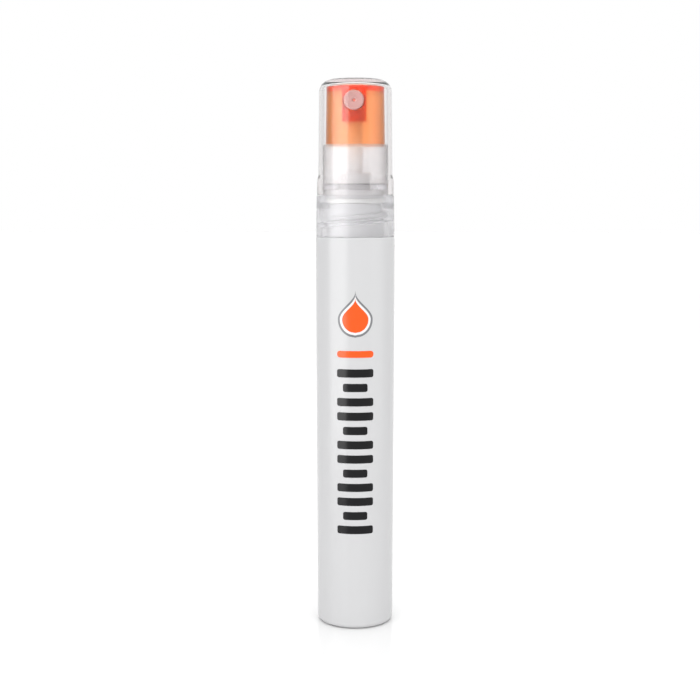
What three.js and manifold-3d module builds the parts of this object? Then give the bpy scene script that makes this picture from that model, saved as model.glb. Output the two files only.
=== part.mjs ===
// A pocket fine-mist sprayer for lens cleaning liquid, in millimetres.
// +Z is up, the origin is the middle of the bottle's base, and the spray nozzle faces -Y.
// Every piece is a separate closed solid, with a small running gap to the pieces that it meets.
import * as THREE from "three";
import { mergeVertices } from "three/addons/utils/BufferGeometryUtils.js";
import Module from "manifold-3d";

const wasm = await Module();
wasm.setup();

// ---- driving dimensions -------------------------------------------------------------------------

const OUTER_SEGMENTS = 32; // facets around the bottle, collar, button and overcap
const PUMP_SEGMENTS = 20; // facets around the pump's inner pieces
const ARC_STEPS = 3; // steps in a rounded corner

const bottle = {
  height: 82, baseRadius: 8.05, topRadius: 8.25, wall: 1.05, edge: 1, shoulderEdge: 0.35,
  floor: 2, recess: 0.7, recessRadius: 4.6, footRadius: 5.6,
};
const neck = { radius: 5.9, bore: 4.9, top: 89.2 };
const thread = { pitch: 3, depth: 0.7, baseWidth: 1.2, crestWidth: 0.6, embed: 0.25 };
const neckThread = { start: 84.1, turns: 1.35 };
const collarThread = { start: 83.1, turns: 1.5 };
const collar = {
  bottom: 82.3, bottomRadius: 8.18, ledge: 90.8, ledgeRadius: 8.06, threadRadius: 6.95, threadTop: 88.9,
  flangeBore: 6.15, webBottom: 92, webTop: 93, webHole: 3.5,
};
const sleeve = { radius: 6.8, bore: 6.33, top: 101.1 };
const flange = { radius: 5.95, bottom: 90.1, top: 90.9 };
const gasket = { inner: 4.5, bottom: 89.25, top: 90.05 };
const barrel = { radius: 4.15, bore: 3.4, floor: 70 };
const ballChamber = { radius: 1.5, seatTop: 68, seatBottom: 67, portRadius: 0.7 };
const tubeSocket = { radius: 2.4, top: 65.8, bottom: 60.3 };
const ball = { radius: 1.2, centre: 68.1 };
const dipTube = { radius: 1.5, bore: 0.9, top: 65.6, bottom: 3.2 };
const turret = { plugRadius: 3.3, plugBottom: 88, flangeTop: 91.95, bossRadius: 3.2, top: 95.4 };
const stem = { radius: 1.5, bore: 0.75, bottom: 81, top: 108.4, shoulderRadius: 2.4, shoulderTop: 91.15 };
const plunger = {
  headRadius: 2.5, headBottom: 78.2, coneBottom: 79, coneTop: 80.2, spigotRadius: 1.4,
  pinRadius: 0.68, pinFlat: 0.42, pinTop: 84.5,
};
const piston = {
  seatRadius: 1.95, seat: 79.75, sleeveRadius: 2.15, sleeveTop: 84.6, chamferTop: 80.3,
  webRadius: 2.75, webBottom: 81.3, webTop: 82.4, lipBottom: 79.8, lipTop: 84.2, lipWidth: 0.2,
  waistBottom: 81, waistTop: 83, waistDepth: 0.13,
};
const springs = {
  mainRadius: 2, mainWire: 0.5, mainTurns: 7, smallRadius: 1.95, smallWire: 0.4, smallTurns: 5,
};
const button = {
  bottom: 100.6, bottomRadius: 6.15, top: 112.9, topRadius: 5.95, wall: 0.8, edge: 0.5, dish: 0.45,
  bossBottom: 105.7, bossRadius: 2.3, underTop: 111.8,
};
const nozzle = { height: 109.9, radius: 2, face: 5.85, back: 3.35, cavity: 1.3, wall: 0.7, orifice: 0.2 };
const cap = {
  bottom: 90.85, skirtRadius: 7.97, skirtTop: 94.2, bodyRadius: 7.68, topRadius: 7.5, top: 114.6,
  corner: 2.6, innerCorner: 0.9, bore: 6.93, topBore: 6.78, underTop: 113.35, crown: 0.35,
};

const pressTravel = 4.5;
const slideGap = 0.08; // radial gap between pieces that slide or are pushed together
const pistonGap = 0.07; // radial gap between the piston's lips and the barrel
const looseGap = 0.3; // gap around the liquid
const stackGap = 0.05; // gap between faces that rest on each other

// ---- small modelling kit ------------------------------------------------------------------------

// Corners are [radius, height, rounding]; each rounded corner becomes an arc tangent to its two sides.
function roundedOutline(corners, steps = ARC_STEPS) {
  const spots = corners.map(([r, z]) => new THREE.Vector2(r, z));
  const count = spots.length;
  return corners.flatMap(([, , rounding], i) => {
    const spot = spots[i];
    if (!rounding) return [spot];
    const toBefore = spots[(i + count - 1) % count].clone().sub(spot).normalize();
    const toAfter = spots[(i + 1) % count].clone().sub(spot).normalize();
    const half = Math.acos(toBefore.dot(toAfter)) / 2;
    const centre = toBefore.clone().add(toAfter).setLength(rounding / Math.sin(half)).add(spot);
    const first = toBefore.clone().multiplyScalar(rounding / Math.tan(half)).add(spot).sub(centre);
    const sweep = (Math.PI - 2 * half) * Math.sign(toAfter.cross(toBefore));
    const onArc = (step) => first.clone().rotateAround(new THREE.Vector2(), (sweep * step) / steps);
    return Array.from({ length: steps + 1 }, (_, step) => onArc(step).add(centre));
  });
}

// A turned piece about Z. An outline that stays off the axis is closed into a ring.
function turned(corners, segments) {
  const points = roundedOutline(corners);
  const onAxis = points[0].x === 0;
  if (!onAxis) points.push(points[0].clone());
  return new THREE.LatheGeometry(points, segments).rotateX(Math.PI / 2);
}

function toSolid(geometry) {
  const bare = geometry.clone();
  bare.deleteAttribute("normal");
  bare.deleteAttribute("uv");
  const merged = mergeVertices(bare, 1e-4);
  return new wasm.Manifold(new wasm.Mesh({
    numProp: 3,
    vertProperties: merged.attributes.position.array,
    triVerts: new Uint32Array(merged.index.array),
  }));
}

function toGeometry(solid) {
  const mesh = solid.getMesh();
  const geometry = new THREE.BufferGeometry();
  geometry.setAttribute("position", new THREE.BufferAttribute(mesh.vertProperties, 3));
  geometry.setIndex(new THREE.BufferAttribute(mesh.triVerts, 1));
  const faceted = geometry.toNonIndexed();
  faceted.computeVertexNormals();
  return faceted;
}

// A straight round rod between two points, used for bores and posts.
function rod(from, to, radius, segments = PUMP_SEGMENTS) {
  const start = new THREE.Vector3(...from);
  const run = new THREE.Vector3(...to).sub(start);
  const along = run.clone().normalize();
  const turn = new THREE.Quaternion().setFromUnitVectors(new THREE.Vector3(0, 1, 0), along);
  return new THREE.CylinderGeometry(radius, radius, run.length(), segments)
    .applyQuaternion(turn)
    .translate(...run.multiplyScalar(0.5).add(start).toArray());
}

function block(low, high) {
  const size = high.map((value, axis) => value - low[axis]);
  const middle = high.map((value, axis) => (value + low[axis]) / 2);
  return new THREE.BoxGeometry(...size).translate(...middle);
}

// A right-hand thread ridge whose ends fade into the wall. It points out for side 1 and in for side -1.
function threadRidge(wallRadius, side, { start, turns }) {
  const stepsPerTurn = OUTER_SEGMENTS;
  const steps = Math.round(turns * stepsPerTurn);
  const fadeSteps = stepsPerTurn / 8;
  const positions = [];
  for (let step = 0; step <= steps; step++) {
    const angle = (2 * Math.PI * step) / stepsPerTurn;
    const height = start + (thread.pitch * step) / stepsPerTurn;
    const fade = Math.min(1, Math.min(step, steps - step) / fadeSteps);
    const root = wallRadius - side * thread.embed;
    const crest = wallRadius + side * (thread.depth * fade - thread.embed * (1 - fade) * 0.5);
    const section = [
      [root, -thread.baseWidth / 2],
      [crest, -thread.crestWidth / 2],
      [crest, thread.crestWidth / 2],
      [root, thread.baseWidth / 2],
    ];
    if (side < 0) section.reverse();
    for (const [r, rise] of section) {
      positions.push(r * Math.cos(angle), r * Math.sin(angle), height + rise);
    }
  }
  const faces = [[0, 1, 2], [0, 2, 3]];
  for (let step = 0; step < steps; step++) {
    for (let corner = 0; corner < 4; corner++) {
      const a = step * 4 + corner;
      const b = step * 4 + ((corner + 1) % 4);
      faces.push([a, a + 4, b], [b, a + 4, b + 4]);
    }
  }
  const last = steps * 4;
  faces.push([last, last + 2, last + 1], [last, last + 3, last + 2]);
  const geometry = new THREE.BufferGeometry();
  geometry.setAttribute("position", new THREE.Float32BufferAttribute(positions, 3));
  geometry.setIndex(faces.flat());
  return geometry;
}

// The centre line of a coil spring with one closed turn at each end.
class SpringLine extends THREE.Curve {
  constructor(radius, wire, bottom, top, turns) {
    super();
    Object.assign(this, { radius, wire, bottom: bottom + wire / 2, top: top - wire / 2, turns });
  }

  getPoint(t, target = new THREE.Vector3()) {
    const turn = t * this.turns;
    const closedPitch = this.wire * 1.08;
    const openPitch = (this.top - this.bottom - 2 * closedPitch) / (this.turns - 2);
    const openTurns = THREE.MathUtils.clamp(turn - 1, 0, this.turns - 2);
    const closedTurns = turn - openTurns;
    const angle = 2 * Math.PI * turn;
    return target.set(
      this.radius * Math.cos(angle),
      this.radius * Math.sin(angle),
      this.bottom + closedTurns * closedPitch + openTurns * openPitch,
    );
  }
}

function coilSpring(radius, wire, bottom, top, turns) {
  const wireSides = 6;
  const stepsPerTurn = 12;
  const section = new THREE.Shape(Array.from({ length: wireSides }, (_, side) => {
    const angle = (2 * Math.PI * side) / wireSides;
    return new THREE.Vector2(Math.cos(angle), Math.sin(angle)).multiplyScalar(wire / 2);
  }));
  return new THREE.ExtrudeGeometry(section, {
    steps: turns * stepsPerTurn,
    extrudePath: new SpringLine(radius, wire, bottom, top, turns),
  });
}

const sprayer = new THREE.Group();

function addPiece(name, geometry, color, roughness, metalness = 0) {
  const material = new THREE.MeshStandardMaterial({ color, roughness, metalness });
  const piece = new THREE.Mesh(geometry, material);
  piece.name = name;
  sprayer.add(piece);
}

// ---- bottle and liquid --------------------------------------------------------------------------

function makeBottle() {
  const innerTop = bottle.topRadius - bottle.wall;
  const shoulderDrop = 2.2; // from the shoulder down to the full inner width
  const shell = turned([
    [0, bottle.recess],
    [bottle.recessRadius, bottle.recess],
    [bottle.footRadius, 0],
    [bottle.baseRadius, 0, bottle.edge],
    [bottle.topRadius, bottle.height, bottle.shoulderEdge],
    [neck.radius, bottle.height],
    [neck.radius, neck.top, 0.2],
    [neck.bore, neck.top],
    [neck.bore, bottle.height + 0.2],
    [innerTop, bottle.height - shoulderDrop],
    [bottle.baseRadius - bottle.wall, bottle.floor, bottle.edge],
    [0, bottle.floor],
  ], OUTER_SEGMENTS);
  const ridge = threadRidge(neck.radius, 1, neckThread);
  return toGeometry(toSolid(shell).add(toSolid(ridge)));
}

// The liquid is a ring: it leaves room for the dip tube and for the pump, which lifts out upwards.
function makeLiquid() {
  const level = 77;
  const outer = bottle.baseRadius - bottle.wall - looseGap;
  const tubeRoom = dipTube.radius + looseGap;
  const socketRoom = tubeSocket.radius + looseGap;
  const barrelRoom = barrel.radius + looseGap;
  return turned([
    [tubeRoom, bottle.floor + looseGap],
    [outer, bottle.floor + looseGap, bottle.edge],
    [outer, level],
    [barrelRoom, level],
    [barrelRoom, ballChamber.seatBottom],
    [socketRoom, tubeSocket.top - 1],
    [socketRoom, tubeSocket.bottom - looseGap],
    [tubeRoom, tubeSocket.bottom - looseGap],
  ], PUMP_SEGMENTS);
}

addPiece("bottle", makeBottle(), "#dfe3e6", 0.4);
addPiece("cleaning_liquid", makeLiquid(), "#e6f0f4", 0.1);

// ---- pump body: it stays still while the spray is used -------------------------------------------

function makeGasket() {
  return turned([
    [gasket.inner, gasket.bottom],
    [flange.radius, gasket.bottom],
    [flange.radius, gasket.top],
    [gasket.inner, gasket.top],
  ], PUMP_SEGMENTS);
}

function makeHousing() {
  const socketBore = dipTube.radius + slideGap;
  const shell = turned([
    [socketBore, tubeSocket.bottom],
    [tubeSocket.radius, tubeSocket.bottom],
    [tubeSocket.radius + 0.1, ballChamber.seatBottom],
    [barrel.radius - 0.05, barrel.floor - 0.6],
    [barrel.radius, flange.bottom],
    [flange.radius, flange.bottom],
    [flange.radius, flange.top],
    [barrel.bore, flange.top],
    [barrel.bore, barrel.floor],
    [ballChamber.radius, barrel.floor],
    [ballChamber.radius, ballChamber.seatTop],
    [ballChamber.portRadius, ballChamber.seatBottom],
    [ballChamber.portRadius, tubeSocket.top],
    [socketBore, tubeSocket.top],
  ], PUMP_SEGMENTS);
  // Three small ribs at the chamber's mouth keep the ball in and let the liquid past.
  const ribInner = ball.radius - 0.15;
  const ribs = [0, 1, 2].map((place) =>
    toSolid(block([ribInner, -0.3, barrel.floor - 0.45], [ballChamber.radius + 0.3, 0.3, barrel.floor])
      .rotateZ((2 * Math.PI * place) / 3)));
  // Air comes back into the bottle through a vent behind the piston.
  const ventHeight = (piston.waistBottom + piston.waistTop) / 2;
  const ventRadius = 0.4;
  const vent = toSolid(rod([0, 2, ventHeight], [0, barrel.radius + 1, ventHeight], ventRadius, 12));
  return toGeometry(ribs.reduce((whole, rib) => whole.add(rib), toSolid(shell)).subtract(vent));
}

function makeTurret() {
  const guide = stem.radius + 0.1;
  const roof = stem.shoulderTop + stackGap;
  const shoulderRoom = stem.shoulderRadius + 0.15;
  return turned([
    [shoulderRoom, turret.plugBottom],
    [turret.plugRadius, turret.plugBottom],
    [turret.plugRadius, flange.top + stackGap],
    [flange.radius, flange.top + stackGap],
    [flange.radius, turret.flangeTop],
    [turret.bossRadius, turret.flangeTop],
    [turret.bossRadius, turret.top, 0.4],
    [guide, turret.top],
    [guide, roof],
    [shoulderRoom, roof],
  ], PUMP_SEGMENTS);
}

// The tube's lower end is cut on the slant, so that it can't seal against the bottle's floor.
function makeDipTube() {
  const tube = turned([
    [dipTube.bore, dipTube.bottom],
    [dipTube.radius, dipTube.bottom],
    [dipTube.radius, dipTube.top],
    [dipTube.bore, dipTube.top],
  ], 16);
  const slant = block([-4, -4, -4], [4, 4, 0]).rotateX(Math.PI / 4).translate(0, 0, dipTube.bottom + 1);
  return toGeometry(toSolid(tube).subtract(toSolid(slant)));
}

addPiece("neck_gasket", makeGasket(), "#f1f1ee", 0.9);
addPiece("pump_housing", makeHousing(), "#e4e8ea", 0.45);
addPiece("turret", makeTurret(), "#eceff0", 0.45);
addPiece("dip_tube", makeDipTube(), "#eef2f3", 0.35);
addPiece(
  "inlet_ball",
  new THREE.IcosahedronGeometry(ball.radius, 2).translate(0, 0, ball.centre),
  "#b9bec2", 0.2, 1,
);
addPiece(
  "return_spring",
  coilSpring(
    springs.mainRadius, springs.mainWire,
    barrel.floor + stackGap, plunger.headBottom - stackGap, springs.mainTurns,
  ),
  "#aeb4b8", 0.3, 1,
);

// ---- stem, plunger and piston: they travel with the button ---------------------------------------

const shoulderBottom = stem.shoulderTop - 0.8;
const plungerBottom = barrel.floor + pressTravel + stackGap; // it meets the barrel's floor when pressed

function makeStem() {
  return turned([
    [stem.bore, stem.bottom],
    [stem.radius, stem.bottom],
    [stem.radius, shoulderBottom],
    [stem.shoulderRadius, shoulderBottom],
    [stem.shoulderRadius, stem.shoulderTop],
    [stem.radius, stem.shoulderTop],
    [stem.radius, stem.top, 0.2],
    [stem.bore, stem.top],
  ], PUMP_SEGMENTS);
}

function makePlunger() {
  const body = turned([
    [0, plungerBottom],
    [plunger.spigotRadius - 0.1, plungerBottom, 0.3],
    [plunger.spigotRadius, plunger.headBottom],
    [plunger.headRadius, plunger.headBottom],
    [plunger.headRadius, plunger.coneBottom],
    [stem.radius, plunger.coneTop],
    [plunger.pinRadius, plunger.coneTop],
    [plunger.pinRadius, plunger.pinTop],
    [0, plunger.pinTop],
  ], PUMP_SEGMENTS);
  // Two flats on the pin leave a way for the liquid up into the stem.
  const flats = [-1, 1].map((side) => {
    const slab = block([-1, plunger.pinFlat, plunger.coneTop], [1, 1.2, plunger.pinTop + 1]);
    return toSolid(side > 0 ? slab : slab.rotateZ(Math.PI));
  });
  return toGeometry(flats.reduce((whole, flat) => whole.subtract(flat), toSolid(body)));
}

// The piston has a lip at each end, and its inner edge closes on the plunger's cone.
function makePiston() {
  const bore = stem.radius + slideGap;
  const lip = barrel.bore - pistonGap;
  const waist = lip - piston.waistDepth;
  return turned([
    [piston.seatRadius, piston.seat],
    [piston.sleeveRadius, piston.seat],
    [piston.sleeveRadius, piston.webBottom],
    [piston.webRadius, piston.webBottom],
    [lip - piston.lipWidth, piston.lipBottom],
    [lip, piston.lipBottom],
    [waist, piston.waistBottom],
    [waist, piston.waistTop],
    [lip, piston.lipTop],
    [lip - piston.lipWidth, piston.lipTop],
    [piston.webRadius, piston.webTop],
    [piston.sleeveRadius, piston.webTop],
    [piston.sleeveRadius, piston.sleeveTop],
    [bore, piston.sleeveTop],
    [bore, piston.chamferTop],
  ], PUMP_SEGMENTS);
}

addPiece("stem", makeStem(), "#eef1f2", 0.4);
addPiece("stem_plunger", makePlunger(), "#e3e6e7", 0.45);
addPiece("piston", makePiston(), "#d8dcde", 0.5);
addPiece(
  "precompression_spring",
  coilSpring(
    springs.smallRadius, springs.smallWire,
    piston.sleeveTop + stackGap, shoulderBottom - stackGap, springs.smallTurns,
  ),
  "#aeb4b8", 0.3, 1,
);

// ---- button and nozzle ---------------------------------------------------------------------------

function makeButton() {
  const innerTop = button.topRadius - button.wall;
  const shell = toSolid(turned([
    [0, button.underTop],
    [innerTop, button.underTop, button.edge],
    [button.bottomRadius - button.wall, button.bottom],
    [button.bottomRadius, button.bottom, 0.15],
    [button.topRadius, button.top, button.edge],
    [4.9, button.top],
    [3, button.top - button.dish * 0.7],
    [0, button.top - button.dish],
  ], OUTER_SEGMENTS));
  const joinHeight = button.underTop + 0.2;
  const post = rod([0, 0, button.bossBottom], [0, 0, joinHeight], button.bossRadius);
  const chamber = block(
    [-button.bossRadius, -innerTop - 0.2, button.bossBottom],
    [button.bossRadius, 0, joinHeight],
  );
  const cavityBack = nozzle.back - 0.15;
  const outside = button.bottomRadius + 1;
  const bore = (depth, reach, radius) =>
    toSolid(rod([0, -depth, nozzle.height], [0, -reach, nozzle.height], radius));
  const socketTop = stem.top + 0.1;
  const feedHeight = socketTop + 0.15;
  const spotFace = bore(nozzle.face - 0.13, outside, nozzle.radius + 0.45);
  const cavity = bore(cavityBack, outside, nozzle.radius + stackGap);
  const swirlPost = bore(cavityBack - 0.2, cavityBack + 1.3, nozzle.cavity - 0.35);
  const socket = toSolid(rod([0, 0, button.bossBottom - 1], [0, 0, socketTop], stem.radius + slideGap));
  const riser = toSolid(rod([0, 0, socketTop - 0.2], [0, 0, feedHeight + 0.3], stem.bore, 12));
  const feed = toSolid(rod([0, 0, feedHeight], [0, -cavityBack - 0.1, feedHeight], 0.4, 12));
  return toGeometry(shell
    .add(toSolid(post))
    .add(toSolid(chamber))
    .subtract(spotFace)
    .subtract(cavity)
    .add(swirlPost)
    .subtract(socket)
    .subtract(riser)
    .subtract(feed));
}

// The insert is a cup with a fine hole in its front wall, turned to face -Y.
function makeNozzleInsert() {
  const depth = nozzle.face - nozzle.back;
  const frontWall = depth - nozzle.wall;
  return turned([
    [nozzle.cavity, 0],
    [nozzle.radius, 0],
    [nozzle.radius, depth, 0.12],
    [nozzle.orifice * 2.5, depth],
    [nozzle.orifice, depth - 0.25],
    [nozzle.orifice, frontWall],
    [nozzle.cavity, frontWall],
  ], PUMP_SEGMENTS).rotateX(Math.PI / 2).translate(0, -nozzle.back, nozzle.height);
}

addPiece("actuator_button", makeButton(), "#f26a2c", 0.35);
addPiece("nozzle_insert", makeNozzleInsert(), "#f0d9d6", 0.4);

// ---- collar and overcap --------------------------------------------------------------------------

function makeCollar() {
  const shell = turned([
    [collar.threadRadius, collar.bottom],
    [collar.bottomRadius, collar.bottom, 0.15],
    [collar.ledgeRadius, collar.ledge, 0.25],
    [sleeve.radius, collar.ledge],
    [sleeve.radius, sleeve.top, 0.15],
    [sleeve.bore, sleeve.top],
    [sleeve.bore, collar.webTop],
    [collar.webHole, collar.webTop],
    [collar.webHole, collar.webBottom],
    [collar.flangeBore, collar.webBottom],
    [collar.flangeBore, collar.threadTop],
    [collar.threadRadius, collar.threadTop - 0.5],
  ], OUTER_SEGMENTS);
  const ridge = threadRidge(collar.threadRadius, -1, collarThread);
  return toGeometry(toSolid(shell).add(toSolid(ridge)));
}

function makeOvercap() {
  const shoulderRadius = cap.topRadius - cap.corner;
  return turned([
    [0, cap.underTop],
    [cap.topBore, cap.underTop - 0.1, cap.innerCorner],
    [cap.bore, cap.bottom],
    [cap.skirtRadius, cap.bottom, 0.12],
    [cap.skirtRadius, cap.skirtTop - 0.3],
    [cap.bodyRadius, cap.skirtTop + 0.7],
    [cap.topRadius, cap.top - cap.crown, cap.corner],
    [shoulderRadius * 0.6, cap.top - 0.08],
    [0, cap.top],
  ], OUTER_SEGMENTS);
}

addPiece("screw_collar", makeCollar(), "#d9dcde", 0.35);
addPiece("overcap", makeOvercap(), "#eef2f4", 0.1);

export default sprayer;
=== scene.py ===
"""The looks of a pocket fine-mist sprayer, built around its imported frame.

Outlines are in millimetres, as [radius, height, rounding]; the meshes are in metres.
"""

import math

import bmesh
import bpy
from mathutils import Matrix, Vector


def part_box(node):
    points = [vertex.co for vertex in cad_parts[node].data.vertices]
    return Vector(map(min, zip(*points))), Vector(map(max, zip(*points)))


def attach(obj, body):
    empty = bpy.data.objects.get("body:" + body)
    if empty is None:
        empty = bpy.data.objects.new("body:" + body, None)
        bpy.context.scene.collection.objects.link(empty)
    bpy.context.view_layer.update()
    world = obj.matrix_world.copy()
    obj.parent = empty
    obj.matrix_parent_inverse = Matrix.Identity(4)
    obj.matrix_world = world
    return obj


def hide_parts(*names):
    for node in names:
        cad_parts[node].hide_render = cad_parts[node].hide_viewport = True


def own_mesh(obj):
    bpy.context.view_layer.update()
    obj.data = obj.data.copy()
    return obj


MM = 0.001
FULL_TURN = 2 * math.pi

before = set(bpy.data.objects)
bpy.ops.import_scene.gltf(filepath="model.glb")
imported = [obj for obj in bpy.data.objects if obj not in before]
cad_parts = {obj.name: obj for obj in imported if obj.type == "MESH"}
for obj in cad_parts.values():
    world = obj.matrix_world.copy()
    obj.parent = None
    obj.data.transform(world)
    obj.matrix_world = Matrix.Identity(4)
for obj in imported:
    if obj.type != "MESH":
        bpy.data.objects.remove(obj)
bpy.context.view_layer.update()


def span(node):
    """Lowest and highest corner of a CAD node, in millimetres."""
    low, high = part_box(node)
    return low / MM, high / MM


# ---- sizes, from the frame where it holds them ---------------------------------------------------

bottle_high = span("bottle")[1]
collar_low, collar_high = span("screw_collar")
cap_low, cap_high = span("overcap")
button_low, button_high = span("actuator_button")
nozzle_low, nozzle_high = span("nozzle_insert")
housing_low, housing_high = span("pump_housing")
turret_low, turret_high = span("turret")
gasket_low, gasket_high = span("neck_gasket")
stem_low, stem_high = span("stem")
plunger_low, plunger_high = span("stem_plunger")
piston_low, piston_high = span("piston")
tube_low, tube_high = span("dip_tube")
liquid_low, liquid_high = span("cleaning_liquid")
ball_low, ball_high = span("inlet_ball")

BOTTLE_TAPER = 0.2
BOTTLE_WALL = 1.05
BOTTLE_FLOOR = 2
SHOULDER = collar_low.z - 0.03
NECK_RADIUS = 5.9
NECK_BORE = 4.9
THREAD_PITCH = 3
SLEEVE_RADIUS = 6.8
SLEEVE_BORE = 6.33
LEDGE = cap_low.z - 0.05
STEM_RADIUS = 1.5
STEM_BORE = 0.75
STEM_SHOULDER_TOP = 91.15
SLIDE_GAP = 0.08
BARREL_RADIUS = 4.15
BARREL_BORE = 3.4
BARREL_FLOOR = 70
PRINT_AZIMUTH = math.radians(3)


# ---- mesh kit ------------------------------------------------------------------------------------

def rounded_outline(corners):
    """The outline's points, with each rounded corner as an arc tangent to its two sides."""
    steps = 8
    spots = [Vector(corner[:2]) for corner in corners]
    points = []
    for i, corner in enumerate(corners):
        spot = spots[i]
        rounding = corner[2] if len(corner) > 2 else 0
        if not rounding:
            points.append(spot)
            continue
        to_before = (spots[i - 1] - spot).normalized()
        to_after = (spots[(i + 1) % len(spots)] - spot).normalized()
        half = math.acos(to_before.dot(to_after)) / 2
        centre = spot + (to_before + to_after).normalized() * rounding / math.sin(half)
        first = spot + to_before * rounding / math.tan(half) - centre
        side = to_after.cross(to_before)
        sweep = math.copysign(math.pi - 2 * half, side)
        for step in range(steps + 1):
            angle = sweep * step / steps
            points.append(centre + Matrix.Rotation(angle, 2) @ first)
    return points


def mesh_object(name, vertices, faces):
    """A new object from vertices in millimetres, with its faces turned outwards."""
    mesh = bpy.data.meshes.new(name)
    mesh.from_pydata([Vector(v) * MM for v in vertices], [], faces)
    tidy = bmesh.new()
    tidy.from_mesh(mesh)
    bmesh.ops.recalc_face_normals(tidy, faces=tidy.faces)
    tidy.to_mesh(mesh)
    tidy.free()
    piece = bpy.data.objects.new(name, mesh)
    bpy.context.scene.collection.objects.link(piece)
    return piece


def turned(name, corners, segments=128):
    """A turned piece about Z. An outline that stays off the axis closes into a ring."""
    points = rounded_outline(corners)
    vertices, rings = [], []
    for r, z in points:
        if r < 1e-6:
            rings.append([len(vertices)] * segments)
            vertices.append((0, 0, z))
            continue
        rings.append(range(len(vertices), len(vertices) + segments))
        for k in range(segments):
            angle = FULL_TURN * k / segments
            vertices.append((r * math.cos(angle), r * math.sin(angle), z))
    on_axis = points[0].x < 1e-6
    pairs = zip(rings, rings[1:] if on_axis else [*rings[1:], rings[0]])
    faces = []
    for lower, upper in pairs:
        for k in range(segments):
            after = (k + 1) % segments
            corner = [lower[k], lower[after], upper[after], upper[k]]
            faces.append(list(dict.fromkeys(corner)))
    return mesh_object(name, vertices, faces)


def rod(name, start, end, radius, segments=64):
    """A straight round rod between two points."""
    start, end = Vector(start), Vector(end)
    turn = (end - start).to_track_quat("Z", "Y")
    across = [turn @ Vector((math.cos(a), math.sin(a), 0)) * radius
              for a in (FULL_TURN * k / segments for k in range(segments))]
    vertices = [start + v for v in across] + [end + v for v in across]
    faces = [[k, (k + 1) % segments, segments + (k + 1) % segments, segments + k] for k in range(segments)]
    faces += [list(range(segments)), list(range(segments, 2 * segments))]
    return mesh_object(name, vertices, faces)


def block(name, low, high):
    """A plain block, used only to build up or cut another piece."""
    xs, ys, zs = zip(low, high)
    vertices = [(x, y, z) for x in xs for y in ys for z in zs]
    faces = [[0, 1, 3, 2], [4, 6, 7, 5], [0, 4, 5, 1], [2, 3, 7, 6], [0, 2, 6, 4], [1, 5, 7, 3]]
    return mesh_object(name, vertices, faces)


def combine(piece, operation, *tools):
    """Joins or cuts the piece with each tool in turn, and removes the tools."""
    for tool in tools:
        step = piece.modifiers.new("combine", "BOOLEAN")
        step.operation = operation
        step.solver = "EXACT"
        step.object = tool
        bpy.context.view_layer.update()
        shaped = bpy.data.meshes.new_from_object(piece.evaluated_get(bpy.context.evaluated_depsgraph_get()))
        piece.modifiers.clear()
        piece.data = shaped
        bpy.data.objects.remove(tool)
    return piece


def helix_sweep(name, section, start, turns, pitch):
    """A closed body swept along a right-hand helix. section(fade) gives its [radius, rise] corners, and
    fade runs from 0 at either end to 1."""
    steps_per_turn, fade_turns = 96, 0.125
    steps = round(turns * steps_per_turn)
    fade_steps = fade_turns * steps_per_turn
    vertices, faces = [], []
    for step in range(steps + 1):
        angle = FULL_TURN * step / steps_per_turn
        fade = min(1, step / fade_steps, (steps - step) / fade_steps)
        corners = section(fade)
        for r, rise in corners:
            height = start + pitch * step / steps_per_turn + rise
            vertices.append((r * math.cos(angle), r * math.sin(angle), height))
    count = len(corners)
    for step in range(steps):
        for k in range(count):
            here = step * count
            after = (k + 1) % count
            faces.append([here + k, here + after, here + count + after, here + count + k])
    faces.append(list(range(count)))
    faces.append([steps * count + k for k in range(count)])
    return mesh_object(name, vertices, faces)


def thread_ridge(name, wall_radius, side, start, turns):
    """A thread ridge that stands out of a wall (side 1) or into a bore (side -1)."""
    depth, embed = 0.7, 0.25
    base, crest = 0.6, 0.3

    def section(fade):
        inner = wall_radius - side * embed
        outer = wall_radius + side * (depth * fade - embed * (1 - fade) * 0.5)
        return [(inner, -base), (outer, -crest), (outer, crest), (inner, base)]

    return helix_sweep(name, section, start, turns, THREAD_PITCH)


def coil_spring(name, node, turns, wire):
    """A round-wire spring with closed end turns, in the space of its CAD node."""
    low, high = span(node)
    mean_radius = high.x - wire / 2
    sides, steps_per_turn = 16, 64
    bottom, top = low.z + wire / 2, high.z - wire / 2
    closed_pitch = wire * 1.08
    open_pitch = (top - bottom - 2 * closed_pitch) / (turns - 2)
    steps = turns * steps_per_turn
    line = []
    for step in range(steps + 1):
        turn = step / steps_per_turn
        open_turns = min(max(turn - 1, 0), turns - 2)
        height = bottom + (turn - open_turns) * closed_pitch + open_turns * open_pitch
        angle = FULL_TURN * turn
        line.append(Vector((mean_radius * math.cos(angle), mean_radius * math.sin(angle), height)))
    vertices, faces = [], []
    for step, point in enumerate(line):
        along = (line[min(step + 1, steps)] - line[max(step - 1, 0)]).normalized()
        outward = Vector((point.x, point.y, 0)).normalized()
        upward = along.cross(outward).normalized()
        for k in range(sides):
            angle = FULL_TURN * k / sides
            vertices.append(point + (outward * math.cos(angle) + upward * math.sin(angle)) * wire / 2)
    for step in range(steps):
        for k in range(sides):
            here = step * sides
            after = (k + 1) % sides
            faces.append([here + k, here + after, here + sides + after, here + sides + k])
    faces.append(list(range(sides)))
    faces.append([steps * sides + k for k in range(sides)])
    return mesh_object(name, vertices, faces)


def finish_piece(piece, node, body, material):
    """Shades a piece smooth between its sharp edges, and puts it in the place of its CAD node, if any."""
    sharp_angle = 32
    piece.data.materials.clear()
    piece.data.materials.append(material)
    piece.data.shade_smooth()
    piece.data.set_sharp_from_angle(angle=math.radians(sharp_angle))
    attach(piece, body)
    if node:
        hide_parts(node)
    return piece


# ---- materials -----------------------------------------------------------------------------------

def new_material(name):
    material = bpy.data.materials.new(name)
    material.use_nodes = True
    nodes = material.node_tree.nodes
    return material, nodes, material.node_tree.links, nodes["Principled BSDF"]


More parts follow.
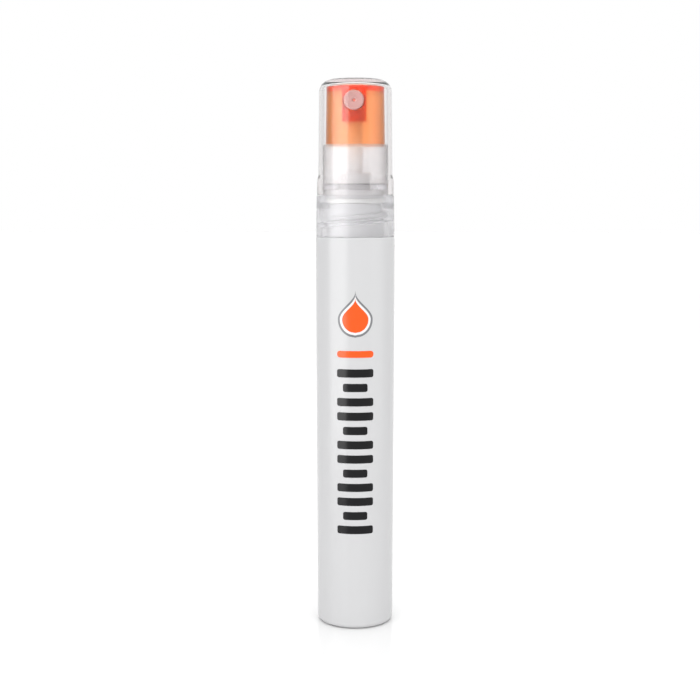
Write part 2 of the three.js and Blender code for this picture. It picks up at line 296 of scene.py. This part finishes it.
def plastic(name, color, roughness, mottle=0.04, mottle_scale=260, grain=0.15, grain_scale=2600,
            rim=None, absorbs=None, **sockets):
    """Moulded plastic: slow colour clouds, a roughness that wanders a little, and a fine moulded grain.

    rim is the grey of a painted shade laid on the colour where the plastic is seen edge on, and absorbs
    is the colour that a millimetre of it lets through.
    """
    material, nodes, links, shader = new_material(name)
    for socket, value in sockets.items():
        shader.inputs[socket.replace("_", " ")].default_value = value
    shader.inputs["Subsurface Radius"].default_value = (1, 1, 1)
    place = nodes.new("ShaderNodeTexCoord")
    clouds = nodes.new("ShaderNodeTexNoise")
    clouds.inputs["Scale"].default_value = mottle_scale
    clouds.inputs["Detail"].default_value = 3
    links.new(place.outputs["Object"], clouds.inputs["Vector"])
    tint = nodes.new("ShaderNodeMix")
    tint.data_type = "RGBA"
    tint.inputs["A"].default_value = (*[c * (1 - mottle) for c in color], 1)
    tint.inputs["B"].default_value = (*[min(1, c * (1 + mottle)) for c in color], 1)
    links.new(clouds.outputs["Fac"], tint.inputs["Factor"])
    links.new(tint.outputs["Result"], shader.inputs["Base Color"])
    wander = nodes.new("ShaderNodeMapRange")
    wander.inputs["To Min"].default_value = roughness * 0.92
    wander.inputs["To Max"].default_value = roughness * 1.08
    links.new(clouds.outputs["Fac"], wander.inputs["Value"])
    links.new(wander.outputs["Result"], shader.inputs["Roughness"])
    fine = nodes.new("ShaderNodeTexNoise")
    fine.inputs["Scale"].default_value = grain_scale
    links.new(place.outputs["Object"], fine.inputs["Vector"])
    bump = nodes.new("ShaderNodeBump")
    bump.inputs["Strength"].default_value = grain
    bump.inputs["Distance"].default_value = 0.02 * MM
    links.new(fine.outputs["Fac"], bump.inputs["Height"])
    links.new(bump.outputs["Normal"], shader.inputs["Normal"])
    # Painted edge shade: the colour turns to the rim grey where the surface is seen edge on.
    if rim:
        facing = nodes.new("ShaderNodeLayerWeight")
        facing.inputs["Blend"].default_value = 0.5
        edge = nodes.new("ShaderNodeMapRange")
        edge.interpolation_type = "SMOOTHSTEP"
        edge.inputs["From Min"].default_value = 0.35
        edge.inputs["From Max"].default_value = 0.75
        links.new(facing.outputs["Facing"], edge.inputs["Value"])
        painted_edge_shade = nodes.new("ShaderNodeMix")
        painted_edge_shade.data_type = "RGBA"
        painted_edge_shade.inputs["B"].default_value = (rim, rim, rim, 1)
        links.new(edge.outputs["Result"], painted_edge_shade.inputs["Factor"])
        links.new(tint.outputs["Result"], painted_edge_shade.inputs["A"])
        links.new(painted_edge_shade.outputs["Result"], shader.inputs["Base Color"])
    if absorbs:
        density = 1000
        volume = nodes.new("ShaderNodeVolumeAbsorption")
        volume.inputs["Color"].default_value = (*[1 + math.log(c) / MM / density for c in absorbs], 1)
        volume.inputs["Density"].default_value = density
        links.new(volume.outputs["Volume"], nodes["Material Output"].inputs["Volume"])
    return material


MILKY = plastic(
    "milky_bottle_plastic", (0.595, 0.595, 0.602), 0.25, mottle=0.006, mottle_scale=90, grain=0.02,
    Specular_IOR_Level=0.3,
)
COLLAR = plastic(
    "natural_collar_plastic", (0.91, 0.905, 0.91), 0.24, mottle=0.01, Transmission_Weight=0.87, IOR=1.36,
    grain=0.05, absorbs=(0.98, 0.98, 0.984),
)
# The cap's rim grey is a painted edge shade.
CLEAR = plastic(
    "clear_cap_plastic", (0.995, 0.995, 0.995), 0.04, mottle=0.005, Transmission_Weight=1, IOR=1.3,
    grain=0.02, rim=0.55, absorbs=(0.975, 0.965, 0.965),
)
ORANGE = plastic(
    "orange_button_plastic", (0.997, 0.71, 0.60), 0.3, mottle=0.01, Transmission_Weight=1, IOR=1.4,
    absorbs=(0.998, 0.78, 0.47), Specular_IOR_Level=0.2,
)
NOZZLE = plastic(
    "pale_nozzle_plastic", (0.51, 0.265, 0.245), 0.4, Subsurface_Weight=0.4, Subsurface_Scale=0.5 * MM,
)
PUMP = plastic(
    "natural_pump_plastic", (0.95, 0.95, 0.955), 0.35, mottle=0.01, Transmission_Weight=0.35, IOR=1.4,
)
PISTON = plastic("piston_plastic", (0.72, 0.74, 0.76), 0.45)
TUBE = plastic("dip_tube_plastic", (0.88, 0.90, 0.91), 0.2, Transmission_Weight=0.6, IOR=1.45)
GASKET = plastic("gasket_foam", (0.85, 0.85, 0.82), 0.8, grain=0.6, grain_scale=1500)
LIQUID = plastic("cleaning_liquid", (0.95, 0.97, 0.98), 0.02, Transmission_Weight=1, IOR=1.34, grain=0)
STEEL = plastic("polished_steel", (0.62, 0.63, 0.65), 0.12, Metallic=1, grain=0.05)
SPRING = plastic("spring_steel", (0.55, 0.56, 0.58), 0.28, Metallic=1, grain=0.2)
BLACK_INK = plastic("black_ink", (0.003, 0.003, 0.004), 0.22, Specular_IOR_Level=0.25)
ORANGE_INK = plastic("orange_ink", (0.95, 0.10, 0.008), 0.22, Specular_IOR_Level=0.3)
GREY_INK = plastic("grey_ink", (0.20, 0.20, 0.21), 0.22, Specular_IOR_Level=0.3)
WHITE_INK = plastic("white_ink", (0.80, 0.80, 0.81), 0.22, Specular_IOR_Level=0.3)


# ---- camera, floor and light ---------------------------------------------------------------------

def make_camera():
    """A 64 mm lens in front of the nozzle, a little above the middle and tipped down 7 degrees."""
    distance, height = 0.2612, 0.0904
    azimuth, yaw, pitch = math.radians(3), math.radians(0.244), math.radians(7)
    lens = bpy.data.cameras.new("camera")
    lens.lens = 64
    lens.sensor_width = 36
    lens.clip_start = 0.01
    camera = bpy.data.objects.new("camera", lens)
    camera.location = (distance * math.sin(azimuth), -distance * math.cos(azimuth), height)
    camera.rotation_euler = (math.pi / 2 - pitch, 0, azimuth + yaw)
    bpy.context.scene.collection.objects.link(camera)
    bpy.context.scene.camera = camera


def make_floor():
    """A wide glossy white table top."""
    reach, height = 3000, -0.02
    edges = [(-reach, -reach), (reach, -reach), (reach, reach), (-reach, reach)]
    floor = mesh_object("floor", [(x, y, height) for x, y in edges], [[0, 1, 2, 3]])
    material, nodes, links, shader = new_material("white_floor")
    shader.inputs["Base Color"].default_value = (0.75, 0.75, 0.75, 1)
    shader.inputs["Roughness"].default_value = 0.1
    shader.inputs["Specular IOR Level"].default_value = 0.35
    floor.data.materials.append(material)


def soft_light(name, azimuth, elevation, distance, width, height, radiance):
    """A rectangular soft light that faces the middle of the sprayer and shows in its gloss only."""
    light = bpy.data.lights.new(name, "AREA")
    light.shape = "RECTANGLE"
    light.size, light.size_y = width, height
    light.energy = radiance * math.pi * width * height
    lamp = bpy.data.objects.new(name, light)
    middle = Vector((0, 0, 0.06))
    a, e = math.radians(azimuth), math.radians(elevation)
    away = Vector((math.sin(a) * math.cos(e), -math.cos(a) * math.cos(e), math.sin(e)))
    lamp.location = middle + away * distance
    lamp.rotation_euler = away.to_track_quat("Z", "Y").to_euler()
    lamp.visible_camera = False
    lamp.visible_diffuse = False
    bpy.context.scene.collection.objects.link(lamp)


def make_world():
    """A white room, dimmer at its left and right so that clear edges read against it.

    Bare surfaces, gloss and clear plastic each see it at their own brightness, and the camera sees it
    plain white.
    """
    world = bpy.data.worlds.new("studio")
    bpy.context.scene.world = world
    world.use_nodes = True
    nodes, links = world.node_tree.nodes, world.node_tree.links
    background = nodes["Background"]
    place = nodes.new("ShaderNodeTexCoord")
    split = nodes.new("ShaderNodeSeparateXYZ")
    links.new(place.outputs["Generated"], split.inputs["Vector"])
    seen = nodes.new("ShaderNodeLightPath")

    def ramp(source, start, end, low, high):
        """Runs smoothly from low to high while the source goes from start to end."""
        node = nodes.new("ShaderNodeMapRange")
        node.interpolation_type = "SMOOTHSTEP"
        node.inputs["From Min"].default_value = start
        node.inputs["From Max"].default_value = end
        node.inputs["To Min"].default_value = low
        node.inputs["To Max"].default_value = high
        links.new(source, node.inputs["Value"])
        return node.outputs["Result"]

    def toward(axis, start, end, low, high):
        return ramp(split.outputs[axis], start, end, low, high)

    def bounces(kind, start, end, low, high):
        return ramp(seen.outputs[kind + " Depth"], start, end, low, high)

    def fold(operation, first, *others):
        """The first value, with each other value added, multiplied or compared in turn."""
        for other in others:
            node = nodes.new("ShaderNodeMath")
            node.operation = operation
            links.new(first, node.inputs[0])
            links.new(other, node.inputs[1])
            first = node.outputs["Value"]
        return first

    def blend(factor, first, second):
        node = nodes.new("ShaderNodeMix")
        links.new(factor, node.inputs["Factor"])
        links.new(first, node.inputs["A"])
        links.new(second, node.inputs["B"])
        return node.outputs["Result"]

    # What falls on bare surfaces: more from the front, and more again through many layers of plastic.
    lit = fold("MULTIPLY", toward("Y", -1, 1, 1.6, 0.95), bounces("Transmission", 4, 8, 1, 1.8))
    # That, or what shows straight through the clear pieces, with the room's left and right dimmer.
    white = blend(bounces("Diffuse", 0, 1, 0, 1), toward("Y", -0.7, 0.7, 1.3, 1.15), lit)
    sides = fold("MULTIPLY", toward("X", 0.4, 0.95, 1, 0.45), toward("X", -0.95, -0.4, 0.4, 1))
    # What the gloss mirrors: dim in front and white behind, and white above the horizon for bare gloss.
    studio = fold("ADD", toward("Y", -0.6, 0.5, 0.25, 1.0), toward("Z", 0.12, 0.4, 0, 0.4))
    above = fold("MULTIPLY", toward("Z", -0.01, 0.05, 0, 1), bounces("Transmission", 0, 1, 1, 0))
    # The share of the gloss, which is smaller inside the clear pieces.
    mirrored = fold(
        "MULTIPLY",
        bounces("Glossy", 0, 1, 0, 1),
        bounces("Diffuse", 0, 1, 1, 0),
        bounces("Transmission", 0, 2, 1, 0.35),
    )
    walls = blend(mirrored, fold("MULTIPLY", white, sides), fold("MAXIMUM", studio, above))
    ceiling = toward("Z", 0.4, 0.8, 0, 0.6)
    room = fold("MULTIPLY", fold("ADD", walls, ceiling), bounces("Transmission", 4, 8, 1, 1.1))
    plain_white = nodes.new("ShaderNodeValue")
    plain_white.outputs["Value"].default_value = 1
    shown = blend(seen.outputs["Is Camera Ray"], room, plain_white.outputs["Value"])
    links.new(shown, background.inputs["Strength"])
    background.inputs["Color"].default_value = (1, 1, 1, 1)


make_camera()
make_floor()
make_world()
soft_light("left_softbox", azimuth=-48, elevation=10, distance=0.16, width=0.16, height=0.3, radiance=4)
soft_light("right_strip", azimuth=70, elevation=10, distance=0.2, width=0.16, height=0.3, radiance=1)
bpy.context.scene.view_settings.view_transform = "Standard"


# ---- bottle and liquid ---------------------------------------------------------------------------

def make_bottle():
    top_radius = bottle_high.x
    base_radius = top_radius - BOTTLE_TAPER
    base_hollow, hollow_radius, foot_radius = 0.7, 4.6, 5.6
    thread_start, thread_turns = 84.1, 1.35
    bottle = turned("bottle_moulding", [
        [0, base_hollow],
        [hollow_radius, base_hollow, 0.3],
        [foot_radius, 0, 0.2],
        [base_radius, 0, 1],
        [top_radius, SHOULDER, 0.35],
        [NECK_RADIUS, SHOULDER],
        [NECK_RADIUS, bottle_high.z, 0.2],
        [NECK_BORE, bottle_high.z],
        [NECK_BORE, SHOULDER + 0.2, 0.4],
        [top_radius - BOTTLE_WALL, SHOULDER - 2.2, 0.8],
        [base_radius - BOTTLE_WALL, BOTTLE_FLOOR, 1],
        [0, BOTTLE_FLOOR],
    ], segments=160)
    combine(bottle, "UNION", thread_ridge("neck_ridge", NECK_RADIUS, 1, thread_start, thread_turns))
    return finish_piece(bottle, "bottle", "bottle", MILKY)


def make_liquid():
    gap = 0.3
    tube_room = tube_high.x + gap
    socket_room, socket_top = 2.7, 64.8
    barrel_room, barrel_foot = BARREL_RADIUS + gap, 67
    meniscus, meniscus_width = 0.4, 0.6
    liquid = turned("liquid_fill", [
        [tube_room, liquid_low.z],
        [liquid_high.x, liquid_low.z, 1],
        [liquid_high.x, liquid_high.z],
        [liquid_high.x - meniscus_width, liquid_high.z - meniscus],
        [barrel_room, liquid_high.z - meniscus],
        [barrel_room, barrel_foot],
        [socket_room, socket_top],
        [socket_room, housing_low.z - gap],
        [tube_room, housing_low.z - gap],
    ], segments=96)
    return finish_piece(liquid, "cleaning_liquid", "bottle", LIQUID)


make_bottle()
make_liquid()


# ---- pump ----------------------------------------------------------------------------------------

def make_gasket():
    bore = 4.5
    ring = turned("gasket_ring", [
        [bore, gasket_low.z, 0.1],
        [gasket_high.x, gasket_low.z, 0.1],
        [gasket_high.x, gasket_high.z, 0.1],
        [bore, gasket_high.z, 0.1],
    ])
    return finish_piece(ring, "neck_gasket", "pump", GASKET)


def make_housing():
    socket_bore = tube_high.x + SLIDE_GAP
    flange_thickness, rib_height, vent_height, vent_radius = 0.8, 0.45, 82, 0.4
    flange_bottom = housing_high.z - flange_thickness
    chamber, socket_radius = 1.5, 2.4
    seat_bottom, seat_top, port, tube_stop = 67, 68, 0.7, 65.8
    housing = turned("housing_moulding", [
        [socket_bore, housing_low.z],
        [socket_radius, housing_low.z, 0.2],
        [socket_radius + 0.1, seat_bottom, 0.4],
        [BARREL_RADIUS - 0.05, BARREL_FLOOR - 0.6, 0.5],
        [BARREL_RADIUS, flange_bottom],
        [housing_high.x, flange_bottom, 0.1],
        [housing_high.x, housing_high.z, 0.1],
        [BARREL_BORE, housing_high.z],
        [BARREL_BORE, BARREL_FLOOR],
        [chamber, BARREL_FLOOR],
        [chamber, seat_top],
        [port, seat_bottom],
        [port, tube_stop],
        [socket_bore, tube_stop],
    ])
    ribs = []
    for place in range(3):
        rib = block("rib", (1.05, -0.3, BARREL_FLOOR - rib_height), (chamber + 0.3, 0.3, BARREL_FLOOR))
        rib.data.transform(Matrix.Rotation(FULL_TURN * place / 3, 4, "Z"))
        ribs.append(rib)
    combine(housing, "UNION", *ribs)
    combine(housing, "DIFFERENCE", rod("vent", (0, 2, vent_height), (0, 5, vent_height), vent_radius, 32))
    return finish_piece(housing, "pump_housing", "pump", PUMP)


def make_turret():
    guide = STEM_RADIUS + 0.1
    roof = STEM_SHOULDER_TOP + 0.05
    shoulder_bore, plug, boss, boss_height = 2.55, 3.3, 3.2, 3.45
    turret = turned("turret_moulding", [
        [shoulder_bore, turret_low.z],
        [plug, turret_low.z, 0.1],
        [plug, housing_high.z + 0.05],
        [turret_high.x, housing_high.z + 0.05, 0.1],
        [turret_high.x, turret_high.z - boss_height, 0.1],
        [boss, turret_high.z - boss_height, 0.2],
        [boss, turret_high.z, 0.4],
        [guide, turret_high.z, 0.15],
        [guide, roof],
        [shoulder_bore, roof],
    ])
    return finish_piece(turret, "turret", "pump", PUMP)


def make_dip_tube():
    bore, wedge_reach = 0.9, 4
    tube = turned("dip_tube_cut", [
        [bore, tube_low.z],
        [tube_high.x, tube_low.z],
        [tube_high.x, tube_high.z],
        [bore, tube_high.z],
    ], segments=64)
    wedge = block("wedge", (-wedge_reach, -wedge_reach, -wedge_reach), (wedge_reach, wedge_reach, 0))
    lift = Matrix.Translation((0, 0, (tube_low.z + 1) * MM))
    wedge.data.transform(lift @ Matrix.Rotation(math.pi / 4, 4, "X"))
    combine(tube, "DIFFERENCE", wedge)
    return finish_piece(tube, "dip_tube", "pump", TUBE)


def make_ball():
    """The inlet ball, turned from a half circle."""
    centre = (ball_low.z + ball_high.z) / 2
    radius = (ball_high.z - ball_low.z) / 2
    steps = 32
    arc = [[radius * math.sin(math.pi * k / steps), centre - radius * math.cos(math.pi * k / steps)]
           for k in range(steps + 1)]
    arc[0][0] = arc[-1][0] = 0
    ball = turned("steel_ball", arc, segments=64)
    return finish_piece(ball, "inlet_ball", "inlet_ball", STEEL)


def make_stem():
    shoulder_thickness = 0.8
    shoulder_bottom = STEM_SHOULDER_TOP - shoulder_thickness
    stem = turned("stem_moulding", [
        [STEM_BORE, stem_low.z],
        [STEM_RADIUS, stem_low.z, 0.1],
        [STEM_RADIUS, shoulder_bottom],
        [stem_high.x, shoulder_bottom, 0.1],
        [stem_high.x, STEM_SHOULDER_TOP, 0.1],
        [STEM_RADIUS, STEM_SHOULDER_TOP],
        [STEM_RADIUS, stem_high.z, 0.2],
        [STEM_BORE, stem_high.z],
    ], segments=96)
    return finish_piece(stem, "stem", "stem", PUMP)


def make_plunger():
    head_bottom, cone_bottom, cone_top = 78.2, 79, 80.2
    spigot, pin, flat = 1.4, 0.68, 0.42
    plunger = turned("plunger_moulding", [
        [0, plunger_low.z],
        [spigot - 0.1, plunger_low.z, 0.3],
        [spigot, head_bottom],
        [plunger_high.x, head_bottom, 0.1],
        [plunger_high.x, cone_bottom],
        [STEM_RADIUS, cone_top],
        [pin, cone_top],
        [pin, plunger_high.z, 0.1],
        [0, plunger_high.z],
    ], segments=96)
    for side in (0, math.pi):
        slab = block("slab", (-1, flat, cone_top), (1, 1.2, plunger_high.z + 1))
        slab.data.transform(Matrix.Rotation(side, 4, "Z"))
        combine(plunger, "DIFFERENCE", slab)
    return finish_piece(plunger, "stem_plunger", "stem", PUMP)


def make_piston():
    bore = STEM_RADIUS + SLIDE_GAP
    lip = piston_high.x
    waist, thin = 0.13, 0.2
    web_bottom, web_top = 81.3, 82.4
    seal_inner, hub, groove = 1.95, 2.15, 2.75
    skirt_top, seat = 84.2, 80.3
    piston = turned("piston_moulding", [
        [seal_inner, piston_low.z],
        [hub, piston_low.z],
        [hub, web_bottom, 0.15],
        [groove, web_bottom, 0.15],
        [lip - thin, piston_low.z + 0.05],
        [lip, piston_low.z + 0.05, 0.05],
        [lip - waist, 81, 0.5],
        [lip - waist, 83, 0.5],
        [lip, skirt_top, 0.05],
        [lip - thin, skirt_top],
        [groove, web_top, 0.15],
        [hub, web_top, 0.15],
        [hub, piston_high.z],
        [bore, piston_high.z],
        [bore, seat],
    ])
    return finish_piece(piston, "piston", "piston", PISTON)


def make_springs():
    """Both springs, each on a mesh of its own."""
    main = coil_spring("main_spring_coil", "return_spring", turns=7, wire=0.5)
    finish_piece(main, "return_spring", "pump", SPRING)
    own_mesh(main)
    small = coil_spring("small_spring_coil", "precompression_spring", turns=5, wire=0.4)
    finish_piece(small, "precompression_spring", "stem", SPRING)
    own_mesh(small)


make_gasket()
make_housing()
make_turret()
make_dip_tube()
make_ball()
make_stem()
make_plunger()
make_piston()
make_springs()


# ---- button and nozzle ---------------------------------------------------------------------------

nozzle_height = (nozzle_low.z + nozzle_high.z) / 2
nozzle_radius = nozzle_high.x
nozzle_cavity = 1.3


def make_button():
    top_radius = button_high.x - 0.2
    wall, edge, boss = 0.8, 0.5, 2.3
    boss_bottom, under_top = 105.7, button_high.z - 1.1
    dish_radius, dish_depth = 4.9, 0.45
    dish = [[dish_radius * math.cos(a), button_high.z - dish_depth * math.sin(a)]
            for a in (math.pi / 2 * k / 8 for k in range(9))]
    dish[-1][0] = 0
    button = turned("button_moulding", [
        [0, under_top],
        [top_radius - wall, under_top, edge],
        [button_high.x - wall, button_low.z],
        [button_high.x, button_low.z, 0.15],
        [top_radius, button_high.z, edge],
        *dish,
    ])
    cavity_back, outside = -nozzle_high.y - 0.15, 8

    def bore(name, depth, reach, radius):
        return rod(name, (0, -depth, nozzle_height), (0, -reach, nozzle_height), radius)

    combine(
        button, "UNION",
        rod("post", (0, 0, boss_bottom), (0, 0, under_top + 0.2), boss),
        block("chamber", (-boss, -top_radius + wall - 0.2, boss_bottom), (boss, 0, under_top + 0.2)),
    )
    combine(
        button, "DIFFERENCE",
        bore("spot_face", -nozzle_low.y - 0.13, outside, nozzle_radius + 0.45),
        bore("cavity", cavity_back, outside, nozzle_radius + 0.05),
    )
    combine(button, "UNION", bore("swirl_post", cavity_back - 0.2, cavity_back + 1.3, nozzle_cavity - 0.35))
    socket_top = stem_high.z + 0.1
    feed_height = socket_top + 0.15
    combine(
        button, "DIFFERENCE",
        rod("socket", (0, 0, boss_bottom - 1), (0, 0, socket_top), STEM_RADIUS + SLIDE_GAP),
        rod("riser", (0, 0, socket_top - 0.2), (0, 0, feed_height + 0.3), STEM_BORE, 32),
        rod("feed", (0, 0, feed_height), (0, -cavity_back - 0.1, feed_height), 0.4, 32),
    )
    return finish_piece(button, "actuator_button", "button", ORANGE)


def make_nozzle():
    depth = nozzle_high.y - nozzle_low.y
    orifice, front_wall = 0.2, 0.7
    insert = turned("nozzle_cup", [
        [nozzle_cavity, 0],
        [nozzle_radius, 0],
        [nozzle_radius, depth, 0.12],
        [1.5, depth],
        [1.35, depth - 0.08],
        [orifice * 2.5, depth - 0.08, 0.05],
        [orifice, depth - 0.3],
        [orifice, depth - front_wall],
        [nozzle_cavity, depth - front_wall],
    ], segments=96)
    place = Matrix.Translation((0, nozzle_high.y * MM, nozzle_height * MM))
    insert.data.transform(place @ Matrix.Rotation(math.pi / 2, 4, "X"))
    return finish_piece(insert, "nozzle_insert", "button", NOZZLE)


make_button()
make_nozzle()


# ---- collar and overcap --------------------------------------------------------------------------

def make_collar():
    thread_radius, thread_top = 6.95, 88.9
    flange_bore, web_bottom, web_top, web_hole = 6.15, 92, 93, 3.5
    thread_start, thread_turns = 83.1, 1.5
    collar = turned("collar_moulding", [
        [thread_radius, collar_low.z, 0.1],
        [collar_high.x, collar_low.z, 0.15],
        [collar_high.x - 0.12, LEDGE, 0.25],
        [SLEEVE_RADIUS, LEDGE],
        [SLEEVE_RADIUS, collar_high.z, 0.15],
        [SLEEVE_BORE, collar_high.z, 0.15],
        [SLEEVE_BORE, web_top, 0.3],
        [web_hole, web_top, 0.1],
        [web_hole, web_bottom, 0.1],
        [flange_bore, web_bottom],
        [flange_bore, thread_top + 0.4, 0.3],
        [thread_radius, thread_top - 1, 0.8],
    ], segments=160)
    combine(collar, "UNION", thread_ridge("collar_ridge", thread_radius, -1, thread_start, thread_turns))
    return finish_piece(collar, "screw_collar", "collar", COLLAR)


def make_overcap():
    body_radius, top_radius, bore, top_bore = 7.68, 7.5, 6.93, 6.78
    skirt_top, corner, crown, top_wall = 94.2, 2.6, 0.35, 1.25
    top, under_top = cap_high.z, cap_high.z - top_wall
    overcap = turned("overcap_moulding", [
        [0, under_top],
        [top_bore, under_top - 0.1, 0.9],
        [bore, cap_low.z, 0.1],
        [cap_high.x, cap_low.z, 0.12],
        [cap_high.x, skirt_top - 0.3, 0.6],
        [body_radius, skirt_top + 0.7, 0.9],
        [top_radius, top - crown, corner],
        [top_radius * 0.4, top - 0.08],
        [0, top],
    ], segments=160)
    return finish_piece(overcap, "overcap", "overcap", CLEAR)


make_collar()
make_overcap()


# ---- printed graphic -----------------------------------------------------------------------------

def printed_shape(name, low, high, half_width, material, rows=24, layer=0.03):
    """A thin layer of ink on the bottle, from height low to high, that stands out by its layer.

    half_width(t) gives half its width around the bottle, for t from 0 at the bottom to 1 at the top.
    """
    embed, columns = 0.02, 16
    vertices, faces = [], []
    across = columns + 1
    for depth in (-embed, layer):
        for row in range(rows + 1):
            t = row / rows
            z = low + (high - low) * t
            radius = bottle_high.x - BOTTLE_TAPER * (1 - z / SHOULDER) + depth
            for column in range(across):
                s = half_width(t) * (2 * column / columns - 1)
                angle = s / bottle_high.x + PRINT_AZIMUTH
                vertices.append((radius * math.sin(angle), -radius * math.cos(angle), z))
    layer_size = across * (rows + 1)

    def grid(row, column, side):
        return side * layer_size + row * across + column

    for row in range(rows):
        for column in range(columns):
            for side in (0, 1):
                faces.append([grid(row, column, side), grid(row, column + 1, side),
                              grid(row + 1, column + 1, side), grid(row + 1, column, side)])
    rim = ([(0, c) for c in range(columns)] + [(r, columns) for r in range(rows)]
           + [(rows, c) for c in range(columns, 0, -1)] + [(r, 0) for r in range(rows, 0, -1)])
    for (row, column), (next_row, next_column) in zip(rim, rim[1:] + rim[:1]):
        faces.append([grid(row, column, 0), grid(next_row, next_column, 0),
                      grid(next_row, next_column, 1), grid(row, column, 1)])
    ink = mesh_object(name, vertices, faces)
    return finish_piece(ink, None, "bottle", material)


def bar(name, low, high, half, material, corner=0.4):
    """A bar across the label with rounded corners."""
    def half_width(t):
        z = (high - low) * min(t, 1 - t)
        inset = corner - math.sqrt(max(corner ** 2 - (corner - min(z, corner)) ** 2, 0))
        return half - inset

    return printed_shape(name, low, high, half_width, material)


def drop(name, middle, size, material, layer):
    """A drop with its point upwards, about its round part's middle."""
    low, high = middle - size, middle + size * 1.55
    belly = size / (high - low)

    def half_width(t):
        if t < belly:
            return size * math.sqrt(max(1 - (1 - t / belly) ** 2, 1e-3))
        return max(size * (0.5 + 0.5 * math.cos(math.pi * (t - belly) / (1 - belly))), 0.03)

    return printed_shape(name, low, high, half_width, material, rows=48, layer=layer)


def make_print():
    """A column of plain bars, an accent bar, and a drop with a grey outline above them."""
    count, lowest, pitch, thickness = 12, 20.6, 3.0, 1.7
    long_half, short_half = 3.9, 2.6
    accent_low, accent_high, drop_height = 57.7, 59.1, 65.6
    for k in range(count):
        low = lowest + pitch * k
        half = short_half if k % 3 == 1 else long_half
        bar(f"printed_bar_{k + 1}", low, low + thickness, half, BLACK_INK)
    bar("printed_accent", accent_low, accent_high, long_half, ORANGE_INK, corner=0.65)
    drop("printed_drop_outline", drop_height, 3.7, GREY_INK, layer=0.015)
    drop("printed_drop_gap", drop_height, 3.25, WHITE_INK, layer=0.022)
    drop("printed_drop", drop_height, 2.75, ORANGE_INK, layer=0.03)


make_print()
